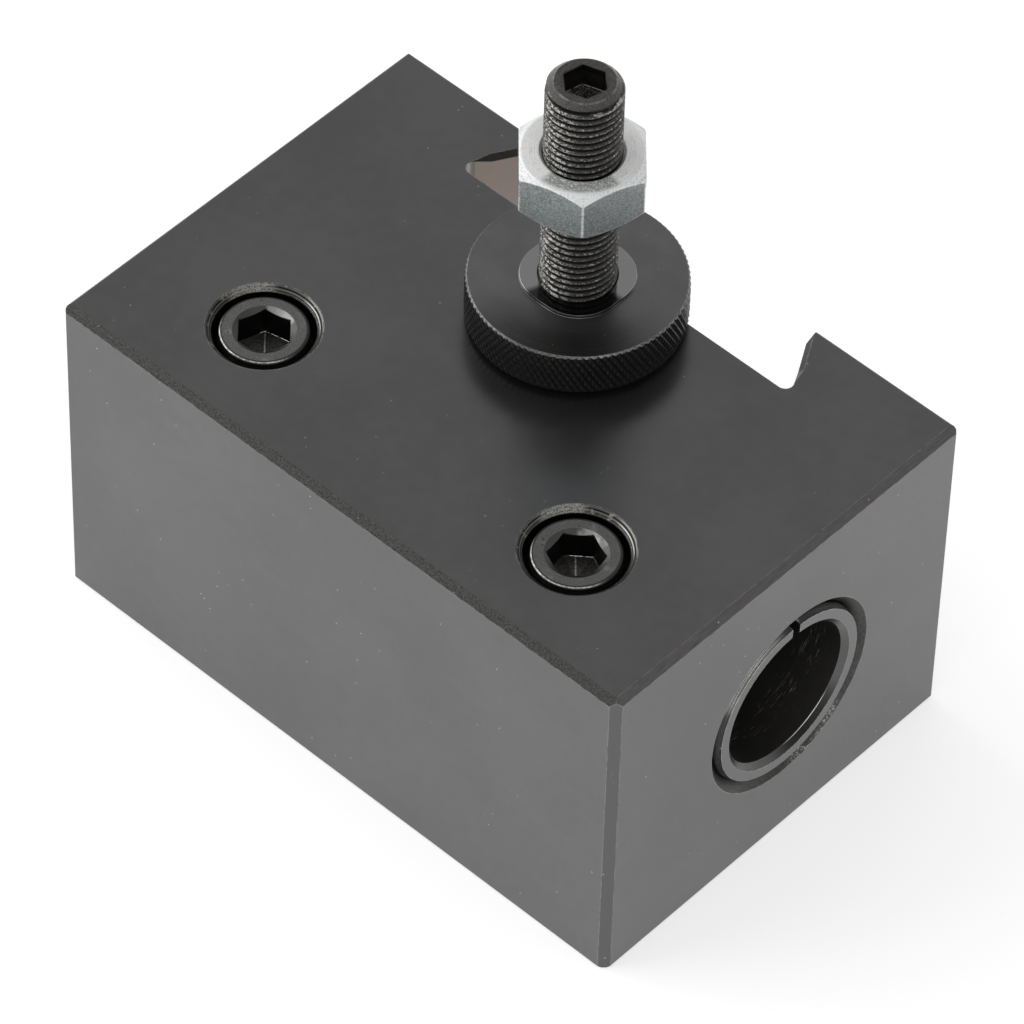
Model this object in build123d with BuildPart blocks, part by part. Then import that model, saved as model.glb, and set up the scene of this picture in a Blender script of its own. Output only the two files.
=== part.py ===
from build123d import *
import os
from math import cos, radians, sin, sqrt, tan

os.makedirs("parts", exist_ok=True)

# Quick change tool holder for boring bars, in millimetres.
# X runs along the bore, Y points to the dovetail side at the back and Z is up.
# The origin is the centre of the underside.

# Block
block_length = 114.3
block_width = 76.2
block_height = 63.0
worked_chamfer = 1.2  # top edges at the front and at the right end
corner_chamfer = 1.4  # upright edge between those two
edge_break = 0.4  # all other outside edges

# Dovetail groove down the back
dovetail_mouth = 57.6
dovetail_land = 2.6  # straight wall at the mouth, before the flank
dovetail_depth = 12.7
dovetail_angle = 60.0
dovetail_tip_radius = 1.4
dovetail_lead = 0.9  # chamfer where each flank meets the top and the underside
dovetail_lead_fade = 3.2  # length over which it runs out, up to the rounded tip

# Bore through the length, and the slit sleeve in it
bore_diameter = 31.75
bore_height = 31.0
bore_wall = 7.4  # metal between the bore and the floor of the groove
bore_chamfer = 1.75
sleeve_fit = 0.05
sleeve_inner_diameter = 25.5
sleeve_recess = 0.05
sleeve_inner_chamfer = 0.95
sleeve_lead_length = 1.2  # steep chamfer at the outer rim, along the bore
sleeve_lead_drop = 0.4  # the same chamfer, across the bore
sleeve_slit = 1.7
sleeve_slit_turn = 2.2  # degrees that the slit lies behind the top

# Clamps: a cap screw draws two saddled plugs together against the sleeve
clamp_inset = 24.8  # from each end of the block
clamp_hole_diameter = 16.2
clamp_hole_chamfer = 1.0
clamp_hole_break = 0.5  # chamfer at the underside
plug_fit = 0.05
plug_gap = 2.7  # between the two plugs when clamped
plug_recess = 1.5
plug_chamfer = 0.5

screw_diameter = 9.5
screw_length = 44.5
screw_tip_chamfer = 1.0
screw_to_bore = 1.3  # from the shank to the wall of the bore
screw_passage = 0.25  # radial room for the shank in the upper plug
screw_head_diameter = 14.2
screw_head_height = 9.5
screw_head_recess = 0.75
screw_head_bevel = 0.5
screw_flats = 7.95
screw_socket_depth = 5.4
screw_socket_mouth = 9.9
screw_socket_bevel = 0.6  # depth of the cone at the mouth
left_screw_turn = 12.6  # degrees from +X to a corner of the socket
right_screw_turn = 38.4

thread_fit = 0.08  # radial, wherever a thread runs in its hole

# Height stud and the two nuts on it
stud_diameter = 12.0
stud_reach = 50.4  # above the top of the block
stud_wall = 4.2  # metal between the stud hole and the floor of the groove
stud_roof = 2.2  # metal between the stud hole and the bore
stud_end_gap = 0.5
stud_hole_countersink = 0.6
stud_chamfer = 1.3
stud_flats = 6.2
stud_socket_depth = 4.6
stud_turn = 17.7
drill_point_angle = 118.0

wheel_diameter = 34.5
wheel_thickness = 7.9
wheel_chamfer = 0.4
wheel_gap = 0.75  # above the block
hub_flats = 16.8  # the hub is squared off a little
hub_corner_radius = 7.0
hub_height = 0.55

locknut_flats = 19.0
locknut_height = 8.5
locknut_lift = 18.1  # above the hub of the knurled nut
locknut_turn = 13.1
locknut_corner_radius = 0.7
locknut_crown_angle = 30.0
locknut_crown_land = 0.3  # how far the end face stops inside the flats
nut_mouth_chamfer = 0.5

# Places that follow from the sizes above
bore_radius = bore_diameter / 2
middle_plane = Plane.XY.offset(block_height / 2)

groove_floor = block_width / 2 - dovetail_depth
flank_top = block_width / 2 - dovetail_land
groove_tip = dovetail_mouth / 2 + (flank_top - groove_floor) / tan(radians(dovetail_angle))
flank_way = Vector(cos(radians(dovetail_angle)), -sin(radians(dovetail_angle)), 0)
flank_run = dovetail_depth / sin(radians(dovetail_angle))
flank_length = flank_run - dovetail_tip_radius / tan(radians(dovetail_angle / 2))
lead_length = flank_length - dovetail_lead_fade
lead_side = sqrt(2) * dovetail_lead
flank_start = Vector(groove_tip, groove_floor, block_height) - flank_way * flank_run
flank_plane = Plane(origin=flank_start, x_dir=(0, 0, 1), z_dir=flank_way)

bore_y = groove_floor - bore_wall - bore_radius
clamp_y = bore_y - bore_radius - screw_to_bore - screw_diameter / 2
clamp_x = block_length / 2 - clamp_inset
clamp_places = [(-clamp_x, clamp_y), (clamp_x, clamp_y)]
bore_plane = Plane(origin=(0, bore_y, bore_height), x_dir=(0, 1, 0), z_dir=(1, 0, 0))
bore_side_plane = Plane(origin=(0, bore_y, bore_height), x_dir=(1, 0, 0), z_dir=(0, 0, 1))
bore_line = Axis((0, bore_y, bore_height), (1, 0, 0))

sleeve_end = block_length / 2 - sleeve_recess
sleeve_radius = bore_radius - sleeve_fit
sleeve_inner_radius = sleeve_inner_diameter / 2

head_top = block_height - screw_head_recess
head_seat = head_top - screw_head_height
plug_diameter = clamp_hole_diameter - 2 * plug_fit
screw_socket_point = screw_flats / 2 / tan(radians(drill_point_angle / 2))

stud_radius = stud_diameter / 2
stud_top = block_height + stud_reach
stud_socket_point = stud_flats / 2 / tan(radians(drill_point_angle / 2))
stud_hole_radius = stud_radius + thread_fit
stud_y = groove_floor - stud_wall - stud_hole_radius
stud_line = Axis((0, stud_y, 0), (0, 0, 1))
near_side = max(stud_y - bore_y - stud_hole_radius, 0)
bore_below_stud = sqrt(max(bore_radius**2 - near_side**2, 0))
stud_hole_bottom = bore_height + bore_below_stud + stud_roof
drill_point = stud_hole_radius / tan(radians(drill_point_angle / 2))

wheel_bottom = block_height + wheel_gap
wheel_top = wheel_bottom + wheel_thickness
hub_top = wheel_top + hub_height
locknut_bottom = hub_top + locknut_lift
locknut_corner = locknut_flats / sqrt(3)
crown_radius = locknut_flats / 2 - locknut_crown_land
crown_drop = (locknut_corner - crown_radius) * tan(radians(locknut_crown_angle))

UNDER = (Align.CENTER, Align.CENTER, Align.MAX)


# Block
with BuildPart() as holder_body:
    with BuildSketch(Plane.XY):
        plan = Rectangle(block_length, block_width)
        front_right = plan.vertices().group_by(Axis.X)[-1].sort_by(Axis.Y)[0]
        chamfer(front_right, corner_chamfer)
        chamfer(plan.vertices() - [front_right], edge_break)
    extrude(amount=block_height)
    with BuildSketch(Plane.XZ):
        with Locations((0, block_height / 2)):
            front_view = Rectangle(block_length, block_height)
        top_right = front_view.vertices().group_by(Axis.X)[-1].sort_by(Axis.Y)[-1]
        chamfer(top_right, worked_chamfer)
        chamfer(front_view.vertices() - [top_right], edge_break)
    extrude(amount=block_width, both=True, mode=Mode.INTERSECT)
    with BuildSketch(Plane.YZ):
        with Locations((0, block_height / 2)):
            end_view = Rectangle(block_width, block_height)
        top_front = end_view.vertices().group_by(Axis.X)[0].sort_by(Axis.Y)[-1]
        chamfer(top_front, worked_chamfer)
        chamfer(end_view.vertices() - [top_front], edge_break)
    extrude(amount=block_length, both=True, mode=Mode.INTERSECT)

    with BuildSketch(bore_plane):
        Circle(bore_radius)
    extrude(amount=block_length, both=True, mode=Mode.SUBTRACT)
    chamfer(holder_body.edges().filter_by(GeomType.CIRCLE), bore_chamfer)

    with BuildSketch(Plane.XY):
        with Locations(*clamp_places):
            Circle(clamp_hole_diameter / 2)
    extrude(amount=block_height, mode=Mode.SUBTRACT)
    hole_mouths = holder_body.edges().filter_by(GeomType.CIRCLE)
    chamfer(hole_mouths.filter_by_position(Axis.Z, block_height, block_height), clamp_hole_chamfer)
    chamfer(hole_mouths.filter_by_position(Axis.Z, 0, 0), clamp_hole_break)

    # Groove: one half of the outline is drawn and mirrored, and the two deep corners are rounded.
    # Its straight walls run on past the back of the block, which leaves a clean opening.
    with BuildSketch(Plane.XY) as groove:
        with BuildLine():
            Polyline(
                (0, block_width),
                (dovetail_mouth / 2, block_width),
                (dovetail_mouth / 2, flank_top),
                (groove_tip, groove_floor),
                (0, groove_floor),
            )
            mirror(about=Plane.YZ)
        make_face()
        deep_corners = groove.vertices().group_by(Axis.Y)[0].sort_by(Axis.X)
        fillet([deep_corners[0], deep_corners[-1]], dovetail_tip_radius)
    extrude(amount=block_height, mode=Mode.SUBTRACT)

    # Chamfer along the top and bottom edge of each flank: a square bar set on its corner,
    # which narrows to a point where the rounded tip begins
    with BuildSketch(flank_plane):
        Rectangle(lead_side, lead_side, rotation=45)
    lead_cut = extrude(amount=lead_length, mode=Mode.SUBTRACT)
    with BuildSketch(flank_plane.offset(lead_length), mode=Mode.PRIVATE) as bar_end:
        Rectangle(lead_side, lead_side, rotation=45)
    fade_end = flank_start + flank_way * flank_length
    lead_fade = loft([bar_end.sketch.face(), Vertex(*fade_end)], ruled=True, mode=Mode.SUBTRACT)
    mirror([lead_cut, lead_fade], about=Plane.YZ, mode=Mode.SUBTRACT)
    low_cuts = mirror([lead_cut, lead_fade], about=middle_plane, mode=Mode.SUBTRACT)
    mirror(low_cuts, about=Plane.YZ, mode=Mode.SUBTRACT)

    # Tapped hole for the height stud, with the cone that its drill leaves
    with BuildSketch(Plane.XZ.offset(-stud_y)):
        with BuildLine():
            Polyline(
                (0, stud_hole_bottom - drill_point),
                (stud_hole_radius, stud_hole_bottom),
                (stud_hole_radius, block_height - stud_hole_countersink),
                (stud_hole_radius + stud_hole_countersink, block_height),
                (0, block_height),
                close=True,
            )
        make_face()
    revolve(axis=stud_line, mode=Mode.SUBTRACT)
holder_body.part.label = "holder_body"
export_step(holder_body.part, "parts/holder_body.step")


# Slit sleeve: half of the wall is drawn from the middle to one end, mirrored and revolved
with BuildPart() as split_sleeve:
    with BuildSketch(bore_side_plane):
        with BuildLine():
            Polyline(
                (0, sleeve_inner_radius),
                (sleeve_end - sleeve_inner_chamfer, sleeve_inner_radius),
                (sleeve_end, sleeve_inner_radius + sleeve_inner_chamfer),
                (sleeve_end, sleeve_radius - sleeve_lead_drop),
                (sleeve_end - sleeve_lead_length, sleeve_radius),
                (0, sleeve_radius),
            )
            mirror(about=Plane.YZ)
        make_face()
    revolve(axis=bore_line)
    with BuildSketch(bore_plane):
        with PolarLocations(bore_radius, 1, start_angle=90 - sleeve_slit_turn):
            Rectangle(bore_radius, sleeve_slit)
    extrude(amount=block_length, both=True, mode=Mode.SUBTRACT)
split_sleeve.part.label = "split_sleeve"
export_step(split_sleeve.part, "parts/split_sleeve.step")


# Clamps, one near each end of the bore
clamp_sides = {"left": (clamp_places[0], left_screw_turn), "right": (clamp_places[1], right_screw_turn)}

for side, (place, screw_turn) in clamp_sides.items():
    # Upper plug, under the screw head, with a saddle bored in line with the main bore
    with BuildPart() as upper_clamp_plug:
        with BuildSketch(Plane.XY.offset(bore_height + plug_gap / 2)):
            with Locations(place):
                Circle(plug_diameter / 2)
        extrude(amount=head_seat - bore_height - plug_gap / 2)
        with BuildSketch(Plane.XY):
            with Locations(place):
                Circle(screw_diameter / 2 + screw_passage)
        extrude(amount=block_height, mode=Mode.SUBTRACT)
        with BuildSketch(bore_plane):
            Circle(bore_radius)
        extrude(amount=block_length, both=True, mode=Mode.SUBTRACT)
    upper_clamp_plug.part.label = "upper_clamp_plug_" + side
    export_step(upper_clamp_plug.part, "parts/upper_clamp_plug_" + side + ".step")

    # Lower plug, tapped for the screw, with the mirror saddle
    with BuildPart() as lower_clamp_plug:
        with BuildSketch(Plane.XY.offset(plug_recess)):
            with Locations(place):
                Circle(plug_diameter / 2)
        extrude(amount=bore_height - plug_gap / 2 - plug_recess)
        bottom_rim = lower_clamp_plug.edges().filter_by(GeomType.CIRCLE).sort_by(Axis.Z)[0]
        chamfer(bottom_rim, plug_chamfer)
        with BuildSketch(Plane.XY):
            with Locations(place):
                Circle(screw_diameter / 2 + thread_fit)
        extrude(amount=block_height, mode=Mode.SUBTRACT)
        with BuildSketch(bore_plane):
            Circle(bore_radius)
        extrude(amount=block_length, both=True, mode=Mode.SUBTRACT)
    lower_clamp_plug.part.label = "lower_clamp_plug_" + side
    export_step(lower_clamp_plug.part, "parts/lower_clamp_plug_" + side + ".step")

    # Socket head cap screw
    with BuildPart() as cap_screw:
        with BuildSketch(Plane.XY.offset(head_seat)):
            with Locations(place):
                Circle(screw_head_diameter / 2)
        extrude(amount=screw_head_height)
        chamfer(cap_screw.faces().sort_by(Axis.Z)[-1].edges(), screw_head_bevel)
        with BuildSketch(Plane.XY.offset(head_seat)):
            with Locations(place):
                Circle(screw_diameter / 2)
        extrude(amount=-screw_length)
        chamfer(cap_screw.faces().sort_by(Axis.Z)[0].edges(), screw_tip_chamfer)
        with BuildSketch(Plane.XY.offset(head_top)):
            with Locations(place):
                RegularPolygon(screw_flats / 2, 6, major_radius=False, rotation=screw_turn)
        extrude(amount=-screw_socket_depth, mode=Mode.SUBTRACT)
        with Locations((*place, head_top)):
            Cone(screw_flats / 2, screw_socket_mouth / 2, screw_socket_bevel, align=UNDER, mode=Mode.SUBTRACT)
        with Locations((*place, head_top - screw_socket_depth)):
            Cone(0, screw_flats / 2, screw_socket_point, align=UNDER, mode=Mode.SUBTRACT)
    cap_screw.part.label = "cap_screw_" + side
    export_step(cap_screw.part, "parts/cap_screw_" + side + ".step")


# Height stud, fixed in the block
with BuildPart() as height_stud:
    with BuildSketch(Plane.XY.offset(stud_hole_bottom + stud_end_gap)):
        with Locations((0, stud_y)):
            Circle(stud_radius)
    extrude(amount=stud_top - stud_hole_bottom - stud_end_gap)
    chamfer(height_stud.faces().sort_by(Axis.Z)[-1].edges(), stud_chamfer)
    with BuildSketch(Plane.XY.offset(stud_top)):
        with Locations((0, stud_y)):
            RegularPolygon(stud_flats / 2, 6, major_radius=False, rotation=stud_turn)
    extrude(amount=-stud_socket_depth, mode=Mode.SUBTRACT)
    with Locations((0, stud_y, stud_top - stud_socket_depth)):
        Cone(0, stud_flats / 2, stud_socket_point, align=UNDER, mode=Mode.SUBTRACT)
height_stud.part.label = "height_stud"
export_step(height_stud.part, "parts/height_stud.step")


# Height nut: a disc that overhangs the groove and rests on the tool post, with a low hub
with BuildPart() as height_nut:
    with BuildSketch(Plane.XY.offset(wheel_bottom)):
        with Locations((0, stud_y)):
            Circle(wheel_diameter / 2)
    extrude(amount=wheel_thickness)
    chamfer(height_nut.edges().filter_by(GeomType.CIRCLE), wheel_chamfer)
    with BuildSketch(Plane.XY.offset(wheel_top)):
        with Locations((0, stud_y)):
            RectangleRounded(hub_flats, hub_flats, hub_corner_radius)
    extrude(amount=hub_height)
    with BuildSketch(Plane.XY.offset(wheel_bottom)):
        with Locations((0, stud_y)):
            Circle(stud_hole_radius)
    extrude(amount=hub_top - wheel_bottom, mode=Mode.SUBTRACT)
    nut_mouths = height_nut.edges().filter_by(GeomType.CIRCLE).group_by(SortBy.RADIUS)[0]
    chamfer(nut_mouths, nut_mouth_chamfer)
height_nut.part.label = "height_nut"
export_step(height_nut.part, "parts/height_nut.step")


# Locknut: a hexagon whose corners are turned off by a cone at each end
with BuildPart() as locknut:
    with BuildSketch(Plane.XY.offset(locknut_bottom)):
        with Locations((0, stud_y)):
            nut_plan = RegularPolygon(locknut_flats / 2, 6, major_radius=False, rotation=locknut_turn)
            fillet(nut_plan.vertices(), locknut_corner_radius)
            Circle(stud_hole_radius, mode=Mode.SUBTRACT)
    extrude(amount=locknut_height)
    locknut_mouths = locknut.edges().filter_by(GeomType.CIRCLE).group_by(SortBy.RADIUS)[-1]
    chamfer(locknut_mouths, nut_mouth_chamfer)
    with BuildSketch(Plane.XZ.offset(-stud_y)):
        with BuildLine():
            Polyline(
                (0, locknut_bottom),
                (crown_radius, locknut_bottom),
                (locknut_corner, locknut_bottom + crown_drop),
                (locknut_corner, locknut_bottom + locknut_height - crown_drop),
                (crown_radius, locknut_bottom + locknut_height),
                (0, locknut_bottom + locknut_height),
                close=True,
            )
        make_face()
    revolve(axis=stud_line, mode=Mode.INTERSECT)
locknut.part.label = "locknut"
export_step(locknut.part, "parts/locknut.step")
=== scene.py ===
import math

import bmesh
import bpy
from mathutils import Matrix, Vector


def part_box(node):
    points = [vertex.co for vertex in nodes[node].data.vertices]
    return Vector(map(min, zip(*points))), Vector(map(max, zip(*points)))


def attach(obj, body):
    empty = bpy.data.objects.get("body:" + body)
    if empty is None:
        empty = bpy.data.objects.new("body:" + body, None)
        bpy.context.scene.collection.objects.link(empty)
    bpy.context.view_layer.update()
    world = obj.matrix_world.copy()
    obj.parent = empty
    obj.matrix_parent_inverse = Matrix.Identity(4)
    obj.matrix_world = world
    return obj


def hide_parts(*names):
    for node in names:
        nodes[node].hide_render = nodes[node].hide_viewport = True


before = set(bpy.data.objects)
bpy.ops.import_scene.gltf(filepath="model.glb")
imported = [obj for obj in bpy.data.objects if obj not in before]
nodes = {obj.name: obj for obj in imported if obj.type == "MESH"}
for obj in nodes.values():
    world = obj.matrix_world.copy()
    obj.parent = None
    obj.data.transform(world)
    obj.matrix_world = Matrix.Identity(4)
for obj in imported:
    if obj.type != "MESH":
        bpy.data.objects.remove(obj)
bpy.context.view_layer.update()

MM = 0.001

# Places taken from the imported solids, in metres
block_low, block_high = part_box("holder_body")
sleeve_low, sleeve_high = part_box("split_sleeve")
wheel_low, wheel_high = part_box("height_nut")
stud_low, stud_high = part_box("height_stud")
left_low, left_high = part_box("cap_screw_left")
right_low, right_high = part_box("cap_screw_right")

block_top = block_high.z
stud_x = (stud_low.x + stud_high.x) / 2
stud_y = (stud_low.y + stud_high.y) / 2
stud_radius = (stud_high.x - stud_low.x) / 2
wheel_radius = (wheel_high.x - wheel_low.x) / 2
clamp_y = (left_low.y + left_high.y) / 2
left_x = (left_low.x + left_high.x) / 2
right_x = (right_low.x + right_high.x) / 2
bore_y = (sleeve_low.y + sleeve_high.y) / 2
sleeve_radius = (sleeve_high.y - sleeve_low.y) / 2
bore_z = sleeve_low.z + sleeve_radius

# Sizes that the boxes don't show
worked_chamfer = 1.2 * MM
corner_chamfer = 1.4 * MM
hole_radius = 8.1 * MM
hole_chamfer = 1.0 * MM
head_height = 9.5 * MM
head_round = 0.6 * MM
screw_socket = 7.95 * MM
screw_socket_depth = 5.4 * MM
socket_mouth = 4.95 * MM
socket_bevel = 0.6 * MM
head_radius = 7.1 * MM
shank_radius = 4.75 * MM
shank_chamfer = 1.0 * MM
head_foot = 0.3 * MM  # chamfer under a screw's head
screw_dish = 0.7 * MM  # depth of the hollow that a socket's drill leaves in its floor
left_turn = math.radians(12.6)  # how far each screw's hexagon is turned
right_turn = math.radians(38.4)
floor_glint_turn = math.radians(43)  # way of the painted highlight line across the floor of a screw's socket
bore_radius = 15.875 * MM
bore_chamfer = 1.75 * MM
sleeve_inner = 12.75 * MM
inner_chamfer = 0.95 * MM
groove_floor = 25.4 * MM
groove_tip = 34.63 * MM
groove_lead = 0.9 * MM
groove_round = 1.4 * MM
flank_angle = math.radians(60)
flank_end = 35.7 * MM  # where the ground flank meets the chamfer at the lip
nut_corner = 10.835 * MM  # a little less than the locknut's corners reach
thread_pitch = 1.27 * MM
screw_pitch = 1.5875 * MM
stud_hole_radius = 6.08 * MM
hub_half = 8.4 * MM
hub_corner = 7.0 * MM
hub_height = 0.55 * MM
hub_edge = 0.08 * MM
wheel_chamfer = 0.4 * MM
wheel_mouth = 0.12 * MM  # chamfer of the wheel's hole at the hub
wheel_mouth_low = 0.5 * MM
knurl_ridges = 96
knurl_steps = 8  # places round the wheel for each ridge
knurl_depth = 0.34 * MM
knurl_lean = math.radians(30)
knurl_crest = 0.14  # share of a ridge that isn't sunk
knurl_cross = 0.62  # depth of the second set of grooves, as a share of the first
thread_depth = 0.72 * MM
thread_below = 1.5 * MM  # how far the thread goes on below the block's top
stud_chamfer = 1.3 * MM
stud_turn = math.radians(17.7)
stud_socket = 6.2 * MM
stud_socket_depth = 4.3 * MM
stud_socket_edge = 0.12 * MM
stud_dish = 0.4 * MM
pinhole = 0.02 * MM  # radius of the ring that closes a floor
foot_height = 0.16 * MM  # line of wear and painted highlight where a socket's walls meet its floor

# Stage
floor_reach = 9.0
floor_drop = 0.02 * MM
floor_white = 0.86
floor_glow = 0.5
horizon_top, sky_bottom = 0.2, 0.42  # Z of the directions between which the world fades
horizon_level, sky_level = 1.0, 0.48
lamp_distance = 2.2
lamp_aim = (0, 0, 0.04)


class Surface:
    """A Principled material, with short calls for the nodes that feed it.

    A mask is a number from 0 to 1. Colours are linear, sizes are metres and angles are degrees.
    The thresholds of the noises and the colours in the materials below were tuned
    against the photo.
    """

    def __init__(self, name, metallic, roughness):
        self.material = bpy.data.materials.new(name)
        self.material.use_nodes = True
        self.tree = self.material.node_tree
        self.shader = self.tree.nodes["Principled BSDF"]
        self.shader.inputs["Metallic"].default_value = metallic
        self.shader.inputs["Roughness"].default_value = roughness
        self.point = self.add("ShaderNodeTexCoord").outputs["Object"]
        split = self.add("ShaderNodeSeparateXYZ")
        self.feed(split.inputs[0], self.point)
        self.x, self.y, self.z = split.outputs
        self.color = None
        self.normal = None

    def add(self, kind):
        return self.tree.nodes.new(kind)

    def feed(self, socket, value):
        if isinstance(value, bpy.types.NodeSocket):
            self.tree.links.new(value, socket)
        else:
            socket.default_value = value

    def math(self, operation, *values):
        node = self.add("ShaderNodeMath")
        node.operation = operation
        for socket, value in zip(node.inputs, values):
            self.feed(socket, value)
        return node.outputs[0]

    def minus(self, first, second):
        return self.math("SUBTRACT", first, second)

    def plus(self, first, second):
        return self.math("ADD", first, second)

    def times(self, first, second):
        return self.math("MULTIPLY", first, second)

    def absolute(self, value):
        return self.math("ABSOLUTE", value)

    def remap(self, value, start, end, low=0.0, high=1.0):
        """Goes smoothly from low to high while value goes from start to end."""
        node = self.add("ShaderNodeMapRange")
        node.interpolation_type = "SMOOTHSTEP"
        for socket, number in zip(node.inputs, (value, start, end, low, high)):
            self.feed(socket, number)
        return node.outputs[0]

    def both(self, *masks):
        """The masks multiplied: 1 only where all of them are 1."""
        result = masks[0]
        for mask in masks[1:]:
            result = self.times(result, mask)
        return result

    def either(self, *masks):
        """The highest of the masks: 1 where any of them is 1."""
        result = masks[0]
        for mask in masks[1:]:
            result = self.math("MAXIMUM", result, mask)
        return result

    def mix(self, share, first, second):
        """A colour that goes from first to second with share."""
        node = self.add("ShaderNodeMix")
        node.data_type = "RGBA"
        self.feed(node.inputs[0], share)
        for socket, value in ((node.inputs[6], first), (node.inputs[7], second)):
            if not isinstance(value, bpy.types.NodeSocket):
                value = (*value, 1)
            self.feed(socket, value)
        return node.outputs[2]

    def blend(self, share, first, second):
        """A number that goes from first to second with share."""
        node = self.add("ShaderNodeMix")
        self.feed(node.inputs[0], share)
        self.feed(node.inputs[2], first)
        self.feed(node.inputs[3], second)
        return node.outputs[0]

    def ramp(self, value, start, end, first, second):
        """A colour that goes from first to second while value goes from start to end."""
        return self.mix(self.remap(value, start, end), first, second)

    def paint(self, mask, color):
        """Lays color over what is painted so far, where mask is 1."""
        self.color = self.mix(mask, self.color, color)

    def noise(self, size, detail=3.0, rough=0.55, stretch=(1, 1, 1), shift=(0, 0, 0)):
        """Noise from 0 to 1 whose lumps are about size metres across."""
        move = self.add("ShaderNodeMapping")
        self.feed(move.inputs["Vector"], self.point)
        move.inputs["Scale"].default_value = [s / size for s in stretch]
        move.inputs["Location"].default_value = shift
        node = self.add("ShaderNodeTexNoise")
        self.feed(node.inputs["Vector"], move.outputs[0])
        node.inputs["Scale"].default_value = 1.0
        node.inputs["Detail"].default_value = detail
        node.inputs["Roughness"].default_value = rough
        return node.outputs["Fac"]

    def line_noise(self, value, size, detail=3.0, rough=0.6):
        """Noise along one number, such as a radius, for turned rings."""
        node = self.add("ShaderNodeTexNoise")
        node.noise_dimensions = "1D"
        self.feed(node.inputs["W"], self.math("DIVIDE", value, size))
        node.inputs["Scale"].default_value = 1.0
        node.inputs["Detail"].default_value = detail
        node.inputs["Roughness"].default_value = rough
        return node.outputs["Fac"]

    def cells(self, size, shift=(0, 0, 0)):
        """Distance to the middle of scattered cells, as a share of their size."""
        move = self.add("ShaderNodeMapping")
        self.feed(move.inputs["Vector"], self.point)
        move.inputs["Scale"].default_value = [1 / size] * 3
        move.inputs["Location"].default_value = shift
        node = self.add("ShaderNodeTexVoronoi")
        self.feed(node.inputs["Vector"], move.outputs[0])
        node.inputs["Scale"].default_value = 1.0
        return node.outputs["Distance"]

    def length(self, first, second):
        return self.math("SQRT", self.plus(self.times(first, first), self.times(second, second)))

    def radius(self, first, second, first_middle, second_middle):
        """Distance of the place (first, second) from a middle."""
        return self.length(self.minus(first, first_middle), self.minus(second, second_middle))

    def near(self, value, middle, half):
        """1 where value is within half of middle."""
        distance = self.absolute(self.minus(value, middle))
        return self.remap(distance, half, half * 1.4, 1.0, 0.0)

    def above(self, value, edge, soft=0.02 * MM):
        """1 above edge and 0 below it, with a soft step between them."""
        return self.remap(value, edge - soft, edge + soft)

    def below(self, value, edge, soft=0.02 * MM):
        """0 above edge and 1 below it, with a soft step between them."""
        return self.remap(value, edge - soft, edge + soft, 1.0, 0.0)

    def slope(self):
        """1 on level faces and 0 on upright ones."""
        split = self.add("ShaderNodeSeparateXYZ")
        self.feed(split.inputs[0], self.add("ShaderNodeNewGeometry").outputs["True Normal"])
        return self.absolute(split.outputs[2])

    def toward(self, first, second, angle, width, soft=0.05):
        """1 where the way (first, second) lies within width degrees of angle."""
        turn = math.radians(angle)
        along = self.plus(self.times(first, math.cos(turn)), self.times(second, math.sin(turn)))
        limit = math.cos(math.radians(width))
        share = self.math("DIVIDE", along, self.length(first, second))
        return self.remap(share, limit - soft, limit + soft)

    def rounded(self, radius, start=0.995, end=0.85):
        """Rounds the edges in the normals, and returns how near an edge each place is."""
        bevel = self.add("ShaderNodeBevel")
        bevel.samples = 6
        bevel.inputs["Radius"].default_value = radius
        self.normal = bevel.outputs[0]
        flat = self.add("ShaderNodeNewGeometry").outputs["Normal"]
        dot = self.add("ShaderNodeVectorMath")
        dot.operation = "DOT_PRODUCT"
        self.feed(dot.inputs[0], self.normal)
        self.feed(dot.inputs[1], flat)
        return self.remap(dot.outputs["Value"], start, end)

    def bump(self, height, depth, strength=1.0):
        """Raises the surface by depth metres where height is 1."""
        node = self.add("ShaderNodeBump")
        node.inputs["Distance"].default_value = depth
        self.feed(node.inputs["Strength"], strength)
        self.feed(node.inputs["Height"], height)
        if self.normal is not None:
            self.feed(node.inputs["Normal"], self.normal)
        self.normal = node.outputs[0]

    def finish(self, roughness=None):
        """Feeds the paint, the roughness and the normal to the shader."""
        self.feed(self.shader.inputs["Base Color"], self.color)
        if roughness is not None:
            self.feed(self.shader.inputs["Roughness"], roughness)
        if self.normal is not None:
            self.feed(self.shader.inputs["Normal"], self.normal)
        return self.material


def dress(node, material):
    """Gives a CAD node's mesh one material."""
    mesh = nodes[node].data
    mesh.materials.clear()
    mesh.materials.append(material)


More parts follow.
